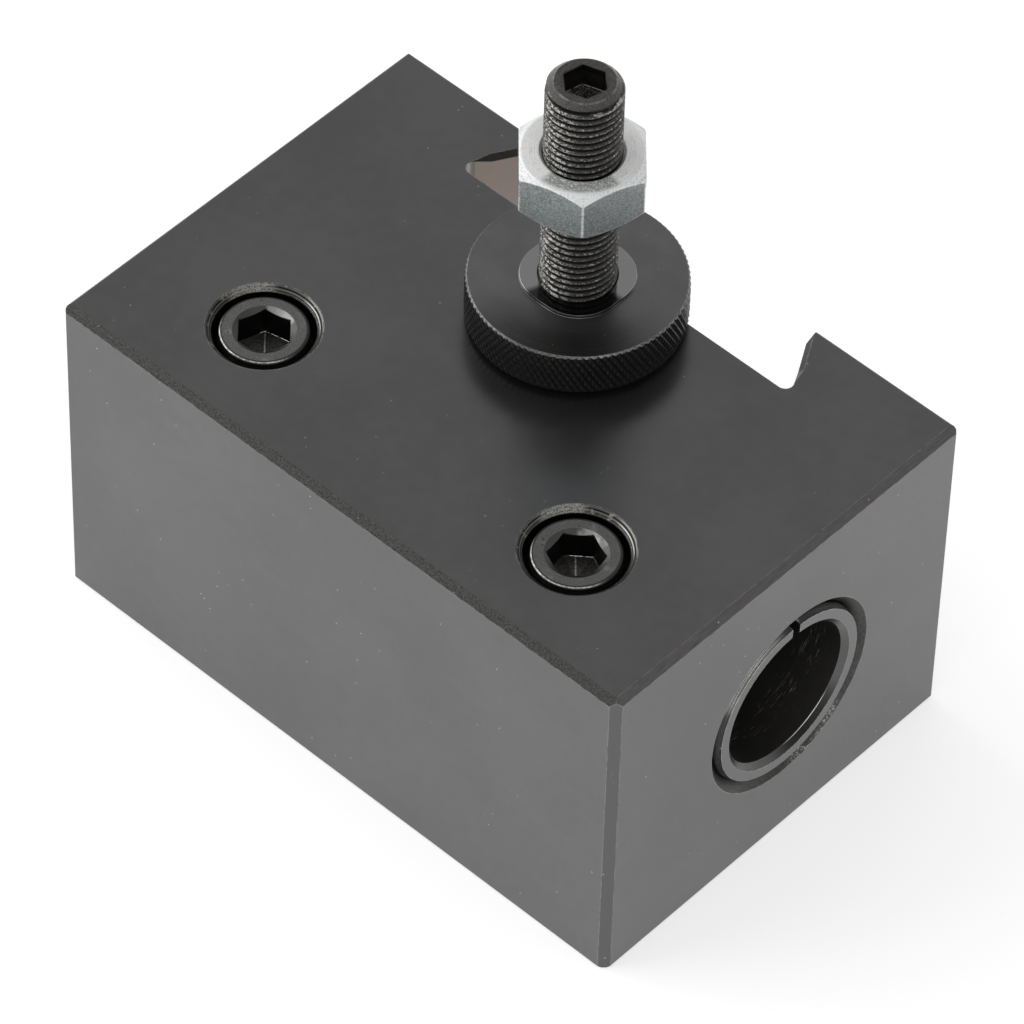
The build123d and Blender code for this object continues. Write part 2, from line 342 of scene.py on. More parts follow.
def block_material():
    """Black oxide steel, with milled chamfers, turned cones and a ground groove."""
    s = Surface("black_oxide_block", metallic=0.96, roughness=0.26)
    edge = s.rounded(0.2 * MM, start=0.995, end=0.93)
    slope = s.slope()
    cloud = s.noise(22 * MM, detail=4)
    grain = s.noise(0.35 * MM, detail=3)
    fine = s.noise(0.14 * MM, detail=3)
    grit = s.noise(0.3 * MM, detail=4, rough=0.7, shift=(2, 0, 4))
    mill = s.noise(1.1 * MM, detail=2, stretch=(0.06, 1, 1))
    mottle = s.noise(2.4 * MM, detail=5, rough=0.65)

    # Upright faces are painted a little darker than level ones, as painted shade and light
    tone = s.plus(s.times(cloud, 0.6), s.times(mottle, 0.4))
    shade = s.remap(tone, 0.35, 0.65)
    shaded_upright_color = s.mix(shade, (0.127, 0.125, 0.129), (0.144, 0.142, 0.145))
    lit_level_color = s.mix(shade, (0.152, 0.15, 0.154), (0.173, 0.17, 0.174))
    s.color = s.mix(s.above(slope, 0.9, 0.05), shaded_upright_color, lit_level_color)
    rough = s.blend(shade, 0.245, 0.265)

    # Milled chamfers at the top front, the top right and the upright corner
    from_front = s.minus(s.y, block_low.y)
    from_right = s.minus(block_high.x, s.x)
    from_top = s.minus(block_top, s.z)
    band = 0.03 * MM
    front_band = s.near(s.plus(from_front, from_top), worked_chamfer, band)
    right_band = s.near(s.plus(from_right, from_top), worked_chamfer, band)
    corner_band = s.near(s.plus(from_front, from_right), corner_chamfer, band)
    strokes = s.noise(0.12 * MM, detail=3, stretch=(1, 0.05, 1))
    s.paint(front_band, s.ramp(grit, 0.38, 0.62, (0.038, 0.038, 0.036), (0.086, 0.086, 0.081)))
    s.paint(right_band, s.ramp(strokes, 0.3, 0.7, (0.095, 0.09, 0.092), (0.14, 0.136, 0.136)))
    s.paint(corner_band, (0.122, 0.12, 0.123))
    rough = s.blend(s.either(front_band, right_band, corner_band), rough, 0.45)

    # Flanks, floor and rounded tips of the groove: ground, without the dark finish
    side = s.absolute(s.x)
    depth = s.minus(s.y, groove_floor)
    flank_x = s.minus(groove_tip, s.math("DIVIDE", depth, math.tan(flank_angle)))
    inward = s.times(s.minus(side, flank_x), math.sin(flank_angle))
    on_flank = s.both(
        s.near(inward, 0.0, 0.05 * MM),
        s.above(depth, 0.3 * MM, 0.1 * MM),
        s.below(s.y, flank_end, 0.1 * MM),
    )
    on_floor = s.both(s.near(depth, 0.0, 0.04 * MM), s.below(side, groove_tip, 0.1 * MM))
    tip_x = groove_tip - groove_round * math.sqrt(3)
    to_tip = s.radius(side, s.y, tip_x, groove_floor + groove_round)
    on_tip = s.both(s.near(to_tip, groove_round, 0.06 * MM), s.above(side, tip_x, 0.1 * MM))
    upright = s.below(slope, 0.2, 0.1)
    ground = s.both(s.either(on_flank, on_floor, on_tip), upright)
    from_end = s.math("MINIMUM", from_top, s.z)
    lead = s.both(
        s.above(slope, 0.3, 0.05),
        s.below(slope, 0.96, 0.01),
        s.above(depth, 1.2 * MM, 0.1 * MM),
        s.above(inward, -0.1 * MM),
        s.below(inward, groove_lead + 0.04 * MM),
        s.below(from_end, groove_lead + 0.04 * MM),
    )
    lines = s.noise(0.5 * MM, detail=2, stretch=(1, 1, 0.03))
    tint = s.noise(2.5 * MM, detail=2)
    ground_color = s.ramp(tint, 0.35, 0.65, (0.42, 0.395, 0.36), (0.46, 0.39, 0.365))
    ground_color = s.mix(on_tip, ground_color, (0.31, 0.29, 0.27))
    s.paint(ground, ground_color)
    s.paint(lead, s.ramp(tint, 0.4, 0.6, (0.035, 0.034, 0.03), (0.045, 0.04, 0.039)))
    rough = s.blend(s.either(ground, lead), rough, 0.36)

    # Turned rings on the chamfers of the clamp holes and the bore
    hole_x = s.minus(s.x, s.times(s.math("SIGN", s.x), right_x))
    hole_y = s.minus(s.y, clamp_y)
    nearest = s.radius(hole_x, hole_y, 0.0, 0.0)
    cone = s.both(
        s.below(nearest, hole_radius + hole_chamfer - 0.02 * MM),
        s.above(s.z, block_top - hole_chamfer - 0.02 * MM),
    )
    deep = s.both(
        s.below(nearest, hole_radius + 0.03 * MM), s.below(s.z, block_top - hole_chamfer, 0.05 * MM)
    )
    bore = s.radius(s.y, s.z, bore_y, bore_z)
    bore_cone = s.both(
        s.below(bore, bore_radius + bore_chamfer - 0.02 * MM),
        s.above(s.absolute(s.x), block_high.x - bore_chamfer - 0.05 * MM, 0.05 * MM),
    )
    rings = s.line_noise(nearest, 0.2 * MM)
    bore_rings = s.line_noise(bore, 0.12 * MM)
    speck = s.noise(0.2 * MM, detail=4, rough=0.7)
    patch = s.noise(1.6 * MM, detail=3)
    cone_color = s.ramp(rings, 0.42, 0.58, (0.012, 0.012, 0.01), (0.15, 0.148, 0.138))
    # Partly rough scuffed patches, partly a painted sheen on one side of each hole's chamfer
    rough_patch_and_sheen = s.both(
        s.either(s.toward(hole_x, hole_y, 148, 24), s.remap(patch, 0.6, 0.66)),
        s.remap(speck, 0.4, 0.6),
    )
    cone_color = s.mix(rough_patch_and_sheen, cone_color, (0.4, 0.39, 0.36))
    # Painted glints on the turned rings on another side
    ring_glint = s.both(s.toward(hole_x, hole_y, 62, 22), s.remap(rings, 0.52, 0.62))
    cone_color = s.mix(ring_glint, cone_color, (0.5, 0.5, 0.48))
    s.paint(cone, cone_color)
    bore_color = s.ramp(grain, 0.3, 0.7, (0.045, 0.045, 0.043), (0.08, 0.08, 0.077))
    bore_side = s.minus(s.y, bore_y)
    bore_up = s.minus(s.z, bore_z)
    worn_bore = s.both(
        s.remap(speck, 0.5, 0.57), s.toward(bore_side, bore_up, -64, 19), s.remap(patch, 0.42, 0.56)
    )
    bore_color = s.mix(worn_bore, bore_color, (0.42, 0.415, 0.39))
    s.paint(bore_cone, bore_color)
    # Painted shade: the walls of the clamp holes below their chamfers
    s.paint(deep, (0.045, 0.045, 0.045))
    rough = s.blend(s.either(cone, bore_cone), rough, 0.38)

    # Thin light edges, partly wear and partly painted highlights, except atop the front chamfer
    dark_front_edge = s.both(
        s.below(from_front, worked_chamfer + 0.3 * MM, 0.05 * MM),
        s.below(from_top, 0.3 * MM, 0.1 * MM),
    )
    edge_wear_and_glint = s.both(edge, s.remap(s.noise(1.4 * MM, detail=4), 0.3, 0.6), s.minus(1.0, dark_front_edge))
    s.paint(edge_wear_and_glint, (0.38, 0.375, 0.365))

    # Specks of dust
    dust = s.both(
        s.below(s.cells(1.9 * MM), 0.06, 0.02),
        s.above(s.noise(9 * MM, detail=3, shift=(3, 1, 0)), 0.55, 0.02),
    )
    s.paint(dust, (0.5, 0.49, 0.47))

    s.bump(grain, 0.0035 * MM)
    s.bump(mill, 0.002 * MM)
    s.bump(fine, 0.015 * MM, front_band)
    s.bump(strokes, 0.01 * MM, right_band)
    s.bump(lines, 0.008 * MM, ground)
    s.bump(rings, 0.09 * MM, cone)
    s.bump(speck, 0.12 * MM, s.both(cone, rough_patch_and_sheen))
    s.bump(bore_rings, 0.04 * MM, bore_cone)
    return s.finish(rough)


def sleeve_material():
    """Black oxide sleeve, with a turned lead, a plain end face and a scuffed bore."""
    s = Surface("black_oxide_sleeve", metallic=0.95, roughness=0.28)
    edge = s.rounded(0.12 * MM, start=0.995, end=0.93)
    out = s.radius(s.y, s.z, bore_y, bore_z)
    side = s.absolute(s.x)
    grain = s.noise(0.3 * MM, detail=3)
    patch = s.noise(2.2 * MM, detail=3)
    rings = s.line_noise(out, 0.05 * MM)
    turned = s.line_noise(s.x, 0.22 * MM, detail=4)
    inside = s.below(out, sleeve_inner + 0.03 * MM)
    face = s.above(side, sleeve_high.x - 0.03 * MM)
    inner_cone = s.both(
        s.below(out, sleeve_inner + inner_chamfer - 0.02 * MM),
        s.above(out, sleeve_inner + 0.04 * MM),
        s.above(side, sleeve_high.x - inner_chamfer),
    )
    lead = s.both(
        s.above(out, sleeve_radius - 0.42 * MM),
        s.above(side, sleeve_high.x - 1.25 * MM),
        s.below(side, sleeve_high.x - 0.03 * MM),
    )
    s.color = s.ramp(grain, 0.3, 0.7, (0.11, 0.11, 0.112), (0.16, 0.16, 0.163))
    streaks = s.remap(s.line_noise(side, 0.14 * MM), 0.42, 0.6)
    across = s.minus(s.y, bore_y)
    up = s.minus(s.z, bore_z)
    # Painted highlight: bright streaks on one side of the turned lead and in scattered patches
    light = s.both(streaks, s.either(s.toward(across, up, 125, 26), s.remap(patch, 0.62, 0.7)))
    s.paint(lead, s.mix(streaks, (0.045, 0.045, 0.043), (0.13, 0.13, 0.126)))
    s.paint(s.both(lead, light), (0.7, 0.7, 0.67))
    scratch = s.noise(0.14 * MM, detail=3, rough=0.6, stretch=(1, 0.045, 0.045))
    depth = s.minus(sleeve_high.x, side)
    scuffed = s.both(s.above(depth, 4 * MM, 1 * MM), s.below(depth, 9 * MM, 1.5 * MM))
    marks = s.both(
        s.remap(scratch, 0.59, 0.67),
        scuffed,
        s.remap(s.noise(6 * MM, detail=2, shift=(3, 1, 2)), 0.4, 0.54),
    )
    s.paint(inside, s.mix(marks, (0.12, 0.115, 0.11), (0.8, 0.79, 0.75)))
    # The inner chamfer is painted darker toward the bottom
    cone_tone = s.remap(s.plus(up, s.times(patch, 4 * MM)), -10 * MM, 8 * MM)
    s.paint(inner_cone, s.mix(cone_tone, (0.085, 0.085, 0.084), (0.12, 0.119, 0.12)))
    # Painted shade in one sector of the inner chamfer, and a painted highlight on its rim there
    s.paint(s.both(inner_cone, s.toward(across, up, -64, 26, 0.12)), (0.025, 0.025, 0.024))
    low_side = s.toward(across, up, -64, 20)
    rim_glint = s.both(s.near(out, sleeve_inner + 0.07 * MM, 0.03 * MM), inner_cone, low_side)
    s.paint(rim_glint, (0.8, 0.8, 0.78))
    s.paint(face, (0.145, 0.143, 0.147))
    # Light edges, partly wear and partly painted highlights
    edge_wear_and_glint = s.both(
        edge, s.remap(s.noise(1.0 * MM), 0.35, 0.6), s.above(out, sleeve_inner + 0.3 * MM, 0.1 * MM)
    )
    s.paint(edge_wear_and_glint, (0.5, 0.5, 0.5))
    rough = s.blend(inside, 0.27, 0.4)
    s.bump(rings, 0.012 * MM, 0.5)
    s.bump(turned, 0.03 * MM, inside)
    s.bump(streaks, 0.02 * MM, lead)
    return s.finish(rough)


def screw_material(name, x_middle):
    """Black oxide cap screw: painted rim highlight, hex socket and a thread on its shank."""
    s = Surface(name, metallic=0.93, roughness=0.36)
    edge = s.rounded(0.16 * MM, start=0.995, end=0.9)
    out = s.radius(s.x, s.y, x_middle, clamp_y)
    grain = s.noise(0.22 * MM, detail=4, rough=0.65)
    cloud = s.noise(2.5 * MM, detail=4)
    pits = s.noise(0.7 * MM, detail=4, rough=0.6)
    rings = s.line_noise(out, 0.12 * MM)
    s.color = s.ramp(grain, 0.3, 0.75, (0.12, 0.12, 0.12), (0.25, 0.247, 0.24))
    s.paint(s.remap(cloud, 0.55, 0.75), (0.26, 0.26, 0.247))
    s.paint(s.remap(pits, 0.62, 0.7), (0.06, 0.06, 0.058))
    head_top = left_high.z
    socket_floor = head_top - screw_socket_depth
    socket_reach = 4.7 * MM  # just past the corners of the hexagon
    shank = s.below(s.z, head_top - head_height - 0.2 * MM, 0.1 * MM)
    hollow = s.both(s.below(out, socket_reach), s.below(s.z, head_top - 0.65 * MM, 0.05 * MM))
    walls = s.both(hollow, s.above(s.z, socket_floor + 0.02 * MM, 0.01 * MM))
    floor = s.both(
        hollow,
        s.below(s.z, socket_floor + 0.02 * MM, 0.01 * MM),
        s.above(s.z, socket_floor - 3 * MM, 0.05 * MM),
    )
    # Light edges, partly wear and partly painted highlights
    edge_wear_and_glint = s.both(edge, s.remap(s.noise(0.9 * MM, detail=4), 0.3, 0.6))
    s.paint(edge_wear_and_glint, (0.2, 0.2, 0.195))
    across = s.minus(s.x, x_middle)
    along = s.minus(s.y, clamp_y)
    # Painted shade: the socket's walls near black and its floor dark, with grain
    s.paint(walls, (0.022, 0.022, 0.022))
    s.paint(floor, s.ramp(grain, 0.4, 0.62, (0.045, 0.044, 0.041), (0.12, 0.116, 0.11)))
    # A painted highlight line across the socket's floor
    beside = s.plus(s.times(across, math.cos(floor_glint_turn)), s.times(along, math.sin(floor_glint_turn)))
    floor_glint = s.both(
        floor,
        s.near(beside, 0.0, 0.1 * MM),
        s.toward(across, along, 133, 60),
        s.remap(grain, 0.35, 0.55),
    )
    s.paint(floor_glint, (0.6, 0.58, 0.54))
    # Where the walls meet the floor: a corner with wear, painted as a bright highlight on one side
    foot = s.both(
        hollow,
        s.below(s.z, socket_floor + 0.13 * MM),
        s.below(s.slope(), 0.3, 0.1),
        s.toward(across, along, 85, 62),
    )
    s.paint(s.both(foot, s.remap(pits, 0.36, 0.46)), (0.95, 0.95, 0.93))
    # The head's rounding is painted darker as shade, with a broken painted highlight on one side
    round_edge = s.both(
        s.above(out, head_radius - 0.6 * MM, 0.06 * MM),
        s.above(s.z, head_top - 0.7 * MM, 0.05 * MM),
    )
    s.paint(round_edge, (0.06, 0.06, 0.058))
    rim = s.both(
        s.near(out, head_radius - 0.28 * MM, 0.08 * MM),
        round_edge,
        s.toward(across, along, -85, 66, 0.3),
    )
    s.paint(
        s.both(rim, s.remap(grain, 0.3, 0.5), s.remap(pits, 0.38, 0.56, 0.35, 1.0)),
        (0.6, 0.6, 0.57),
    )
    mouth = s.both(
        s.below(out, socket_mouth - 0.02 * MM, 0.03 * MM),
        s.near(s.z, head_top - 0.33 * MM, 0.28 * MM),
        s.above(s.slope(), 0.3, 0.1),
    )
    # Painted sheen on the far side of the socket's mouth bevel, painted shade on the rest
    lit_mouth = s.mix(
        s.toward(across, along, 96, 34),
        (0.085, 0.085, 0.083),
        s.ramp(cloud, 0.4, 0.55, (0.14, 0.14, 0.135), (0.32, 0.32, 0.305)),
    )
    s.paint(mouth, lit_mouth)
    rough = s.blend(s.remap(cloud, 0.35, 0.65), 0.32, 0.42)
    angle = s.math("ARCTAN2", along, across)
    turn = s.minus(s.math("DIVIDE", s.z, screw_pitch), s.math("DIVIDE", angle, 2 * math.pi))
    thread = s.math("PINGPONG", turn, 0.5)
    s.bump(rings, 0.01 * MM, 0.6)
    s.bump(grain, 0.03 * MM)
    s.bump(pits, 0.06 * MM)
    s.bump(s.remap(s.z, socket_floor, socket_floor + foot_height, 1.0, 0.0), foot_height, foot)
    s.bump(thread, 1.6 * MM, shank)
    return s.finish(rough)


def plug_material():
    """Turned steel of the clamp plugs, which are mostly hidden."""
    s = Surface("turned_plug", metallic=0.93, roughness=0.4)
    edge = s.rounded(0.15 * MM)
    left = s.radius(s.x, s.y, left_x, clamp_y)
    right = s.radius(s.x, s.y, right_x, clamp_y)
    out = s.math("MINIMUM", left, right)
    grain = s.noise(0.3 * MM, detail=4)
    s.color = s.ramp(grain, 0.3, 0.7, (0.12, 0.12, 0.12), (0.2, 0.2, 0.195))
    # Light edges, partly wear and partly painted highlights
    s.paint(s.both(edge, s.remap(s.noise(1.0 * MM), 0.35, 0.6)), (0.42, 0.42, 0.41))
    s.bump(s.line_noise(out, 0.2 * MM), 0.03 * MM)
    return s.finish()


def stud_material():
    """Black oxide stud, with specks of wear, painted glints and painted shade along its thread."""
    s = Surface("black_oxide_stud", metallic=0.94, roughness=0.3)
    across = s.minus(s.x, stud_x)
    along = s.minus(s.y, stud_y)
    out = s.radius(across, along, 0.0, 0.0)
    grain = s.noise(0.22 * MM, detail=4, rough=0.7)
    speck = s.noise(0.45 * MM, detail=5, rough=0.7, stretch=(1, 1, 2.4))
    streak = s.noise(0.5 * MM, detail=5, rough=0.7, stretch=(1, 1, 2.2), shift=(0, 3, 1))
    scuff = s.noise(1.6 * MM, detail=3, stretch=(1, 1, 0.6))
    fray = s.noise(1.3 * MM, detail=5, rough=0.7, stretch=(1, 1, 3), shift=(5, 0, 2))
    chamfer_foot = stud_high.z - stud_chamfer
    socket_floor = stud_high.z - stud_socket_depth
    on_top = s.above(s.z, chamfer_foot, 0.05 * MM)
    low = s.below(s.z, chamfer_foot, 0.05 * MM)

    # Crests with wear, painted glints on one side, and painted shade in the thread grooves
    crest = s.above(out, stud_radius - 0.16 * MM, 0.05 * MM)
    flank = s.above(out, stud_radius - 0.3 * MM, 0.08 * MM)
    s.color = s.ramp(grain, 0.3, 0.7, (0.028, 0.027, 0.025), (0.11, 0.107, 0.1))
    s.paint(s.both(crest, s.remap(speck, 0.46, 0.58)), (0.22, 0.216, 0.207))
    bare_and_glint = s.both(crest, s.remap(speck, 0.56, 0.64), s.remap(scuff, 0.38, 0.55))
    bare_and_glint = s.either(
        bare_and_glint, s.both(flank, s.toward(across, along, -96, 28, 0.14), s.remap(streak, 0.49, 0.56))
    )
    frayed = s.near(s.z, chamfer_foot, 0.4 * MM)
    frayed = s.both(
        frayed, s.above(out, stud_radius - 0.5 * MM, 0.1 * MM), s.remap(fray, 0.49, 0.6)
    )
    bare_and_glint = s.either(bare_and_glint, s.both(frayed, 0.55))
    # Painted shade in the roots of the thread
    root = s.both(s.below(out, stud_radius - 0.34 * MM, 0.14 * MM), low)
    s.paint(root, (0.012, 0.012, 0.011))
    s.paint(bare_and_glint, (0.85, 0.84, 0.8))

    # Top face, with the hex socket
    socket_reach = 3.75 * MM  # just past the corners of the hexagon
    hollow = s.both(s.below(out, socket_reach), s.below(s.z, stud_high.z - 0.14 * MM))
    floor = s.both(hollow, s.below(s.z, socket_floor + 0.03 * MM))
    rim = s.both(on_top, s.above(out, socket_reach - 0.05 * MM, 0.05 * MM), s.minus(1.0, bare_and_glint))
    s.paint(rim, s.ramp(grain, 0.35, 0.65, (0.05, 0.048, 0.046), (0.12, 0.116, 0.11)))
    top_edge = s.both(
        on_top, s.near(out, stud_radius - stud_chamfer, 0.1 * MM), s.remap(scuff, 0.4, 0.6)
    )
    s.paint(top_edge, (0.2, 0.196, 0.19))
    # Painted shade in the socket, light specks on its floor, a painted highlight at its foot
    s.paint(hollow, (0.04, 0.039, 0.038))
    s.paint(floor, s.ramp(grain, 0.5, 0.62, (0.03, 0.029, 0.027), (0.5, 0.48, 0.45)))
    foot = s.both(hollow, s.below(s.z, socket_floor + foot_height), s.below(s.slope(), 0.3, 0.1))
    s.paint(s.both(foot, s.remap(scuff, 0.4, 0.5)), (0.95, 0.95, 0.9))
    s.feed(s.shader.inputs["Metallic"], s.blend(bare_and_glint, 0.94, 0.6))
    s.bump(speck, 0.4 * MM, low)
    s.bump(grain, 0.12 * MM)
    s.bump(s.line_noise(out, 0.15 * MM), 0.03 * MM, on_top)
    s.bump(s.remap(s.z, socket_floor, socket_floor + foot_height, 1.0, 0.0), foot_height, foot)
    return s.finish()


def wheel_material():
    """Black oxide knurled nut, with a turned face and a brighter, polished hub."""
    s = Surface("black_oxide_wheel", metallic=0.93, roughness=0.33)
    edge = s.rounded(0.12 * MM)
    out = s.radius(s.x, s.y, stud_x, stud_y)
    grain = s.noise(0.3 * MM, detail=4)
    rings = s.line_noise(out, 0.16 * MM, detail=4)
    cloud = s.noise(5 * MM, detail=4)
    s.color = s.ramp(cloud, 0.3, 0.7, (0.165, 0.165, 0.167), (0.19, 0.19, 0.19))
    across = s.minus(s.x, stud_x)
    along = s.minus(s.y, stud_y)
    # Painted dark reflection and shade of the stud and locknut on the front of the wheel's top
    shaded = s.both(
        s.toward(across, along, -56, 50, 0.34),
        s.above(out, 11 * MM, 4 * MM),
        s.remap(rings, 0.3, 0.6, 0.6, 1.0),
    )
    s.paint(shaded, (0.05, 0.05, 0.049))
    wheel_top = wheel_high.z - hub_height
    rim_band = wheel_chamfer + 0.02 * MM
    low = s.below(s.z, wheel_top - rim_band)
    side = s.both(s.above(out, wheel_radius - 0.7 * MM, 0.05 * MM), low)
    hub_level = wheel_high.z - 0.12 * MM
    hub = s.above(s.z, hub_level)
    hub_wall = s.both(s.above(s.z, wheel_top + 0.01 * MM, 0.01 * MM), s.below(s.z, hub_level))
    crest = s.above(out, wheel_radius - 0.10 * MM, 0.05 * MM)
    s.paint(side, (0.022, 0.022, 0.022))
    s.paint(s.both(side, crest, s.remap(grain, 0.45, 0.65)), (0.065, 0.065, 0.065))
    band_mask = s.both(
        s.above(out, wheel_radius - rim_band, 0.03 * MM),
        s.above(s.z, wheel_top - rim_band),
    )
    s.paint(band_mask, s.ramp(grain, 0.4, 0.6, (0.1, 0.1, 0.098), (0.2, 0.2, 0.195)))
    # Painted shade on the hub's wall, and a painted dark reflection on the front of the hub
    s.paint(hub_wall, (0.025, 0.025, 0.025))
    s.paint(
        hub, s.mix(s.toward(across, along, -53, 58, 0.08), (0.34, 0.337, 0.342), (0.04, 0.04, 0.04))
    )
    # Light edges, partly wear and partly painted highlights
    s.paint(s.both(edge, s.remap(cloud, 0.35, 0.6), s.minus(1.0, side)), (0.6, 0.6, 0.59))
    rough = s.blend(hub, 0.31, 0.1)
    dust = s.both(
        s.below(s.cells(1.3 * MM), 0.06, 0.02),
        s.above(s.noise(5 * MM, detail=3, shift=(2, 5, 0)), 0.52, 0.02),
    )
    s.paint(dust, (0.4, 0.39, 0.37))
    s.bump(rings, 0.006 * MM, s.minus(1.0, hub))
    s.bump(grain, 0.004 * MM, s.minus(1.0, hub))
    return s.finish(rough)


def zinc_material():
    """Zinc plate of the locknut: grey flats, with painted light on its top and borders."""
    s = Surface("zinc_plate", metallic=1.0, roughness=0.3)
    edge = s.rounded(0.32 * MM, start=0.999, end=0.97)
    slope = s.slope()
    patch = s.noise(3.0 * MM, detail=3)
    worm = s.noise(0.3 * MM, detail=5, rough=0.72)
    fine = s.noise(0.1 * MM, detail=3)
    across = s.minus(s.x, stud_x)
    along = s.minus(s.y, stud_y)
    out = s.radius(across, along, 0.0, 0.0)
    arcs = s.line_noise(s.plus(out, s.times(patch, 1.2 * MM)), 0.16 * MM)
    s.color = s.ramp(worm, 0.36, 0.64, (0.3, 0.34, 0.345), (0.72, 0.77, 0.765))
    s.paint(s.both(s.remap(patch, 0.45, 0.65), 0.3), (0.62, 0.66, 0.66))
    upper = s.above(slope, 0.3, 0.1)
    level = s.above(slope, 0.97, 0.01)
    # Painted light: upper faces painted pale as lit, the borders of the flats as highlights
    border = s.both(s.either(edge, s.above(out, nut_corner)), s.remap(worm, 0.2, 0.5))
    pale = s.ramp(worm, 0.34, 0.54, (0.66, 0.695, 0.68), (0.96, 0.98, 0.965))
    # Turned arcs, and a painted dark reflection of the stud in the shine
    pale = s.mix(level, pale, s.ramp(worm, 0.34, 0.5, (0.8, 0.83, 0.82), (1.0, 1.0, 0.99)))
    pale = s.mix(
        s.both(s.remap(arcs, 0.6, 0.68), s.remap(patch, 0.36, 0.56)), pale, (0.42, 0.44, 0.43)
    )
    mirrored = s.both(
        s.toward(across, along, -50, 42),
        s.below(out, 8.8 * MM, 0.5 * MM),
        s.remap(worm, 0.36, 0.52),
    )
    pale = s.mix(s.both(mirrored, 0.85), pale, (0.2, 0.22, 0.205))
    share = s.either(upper, border)
    s.paint(share, pale)
    s.feed(s.shader.inputs["Metallic"], s.blend(level, s.blend(share, 1.0, 0.4), 0.0))
    rough = s.blend(upper, 0.3, 0.5)
    s.bump(patch, 0.06 * MM, 0.5)
    s.bump(worm, 0.05 * MM)
    s.bump(fine, 0.01 * MM, 0.8)
    s.bump(arcs, 0.05 * MM, upper)
    return s.finish(rough)


def floor_material():
    """Pale paint that also glows for the camera, for reflections and through glass."""
    material = bpy.data.materials.new("stage_floor")
    material.use_nodes = True
    tree = material.node_tree
    tree.nodes.clear()
    out = tree.nodes.new("ShaderNodeOutputMaterial")
    paint = tree.nodes.new("ShaderNodeBsdfDiffuse")
    paint.inputs["Color"].default_value = (floor_white, floor_white, floor_white, 1)
    glow = tree.nodes.new("ShaderNodeEmission")
    path = tree.nodes.new("ShaderNodeLightPath")
    total = tree.nodes.new("ShaderNodeAddShader")
    seen = path.outputs["Is Camera Ray"]
    for kind in ("Is Glossy Ray", "Is Transmission Ray"):
        either = tree.nodes.new("ShaderNodeMath")
        either.operation = "MAXIMUM"
        tree.links.new(seen, either.inputs[0])
        tree.links.new(path.outputs[kind], either.inputs[1])
        seen = either.outputs[0]
    level = tree.nodes.new("ShaderNodeMath")
    level.operation = "MULTIPLY"
    level.inputs[1].default_value = floor_glow
    tree.links.new(seen, level.inputs[0])
    tree.links.new(level.outputs[0], glow.inputs["Strength"])
    tree.links.new(paint.outputs[0], total.inputs[0])
    tree.links.new(glow.outputs[0], total.inputs[1])
    tree.links.new(total.outputs[0], out.inputs[0])
    return material


def new_piece(name, builder, body, node, material):
    """A mesh in the row frame that stands for a CAD node and rides on its body."""
    mesh = bpy.data.meshes.new(name)
    form = bmesh.new()
    builder(form)
    form.to_mesh(mesh)
    form.free()
    mesh.materials.append(material)
    piece = bpy.data.objects.new(name, mesh)
    bpy.context.collection.objects.link(piece)
    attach(piece, body)
    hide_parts(node)
    return piece


def ring(form, middle, radii, angles, z):
    """A level ring of vertices, with one radius for all or a list of them."""
    if not isinstance(radii, list):
        radii = [radii] * len(angles)
    x, y = middle
    return [
        form.verts.new((x + r * math.cos(a), y + r * math.sin(a), z)) for r, a in zip(radii, angles)
    ]


def skin(form, first, second, smooth=True):
    """A strip of quads between two rings. Seen from outside, second lies above first."""
    count = len(first)
    for i in range(count):
        j = (i + 1) % count
        face = form.faces.new((first[i], first[j], second[j], second[i]))
        face.smooth = smooth


def skin_all(form, middle, angles, outline):
    """Strips along a list of (radii, z), with two rings at each corner to keep it sharp."""
    for (r0, z0), (r1, z1) in zip(outline, outline[1:]):
        skin(form, ring(form, middle, r0, angles, z0), ring(form, middle, r1, angles, z1))


def hexagon_radii(count, half):
    """Distance from the middle to a hexagon, at count even angles that start at a corner."""
    step = count // 6
    return [half / math.cos(math.radians((i % step) / step * 60 - 30)) for i in range(count)]


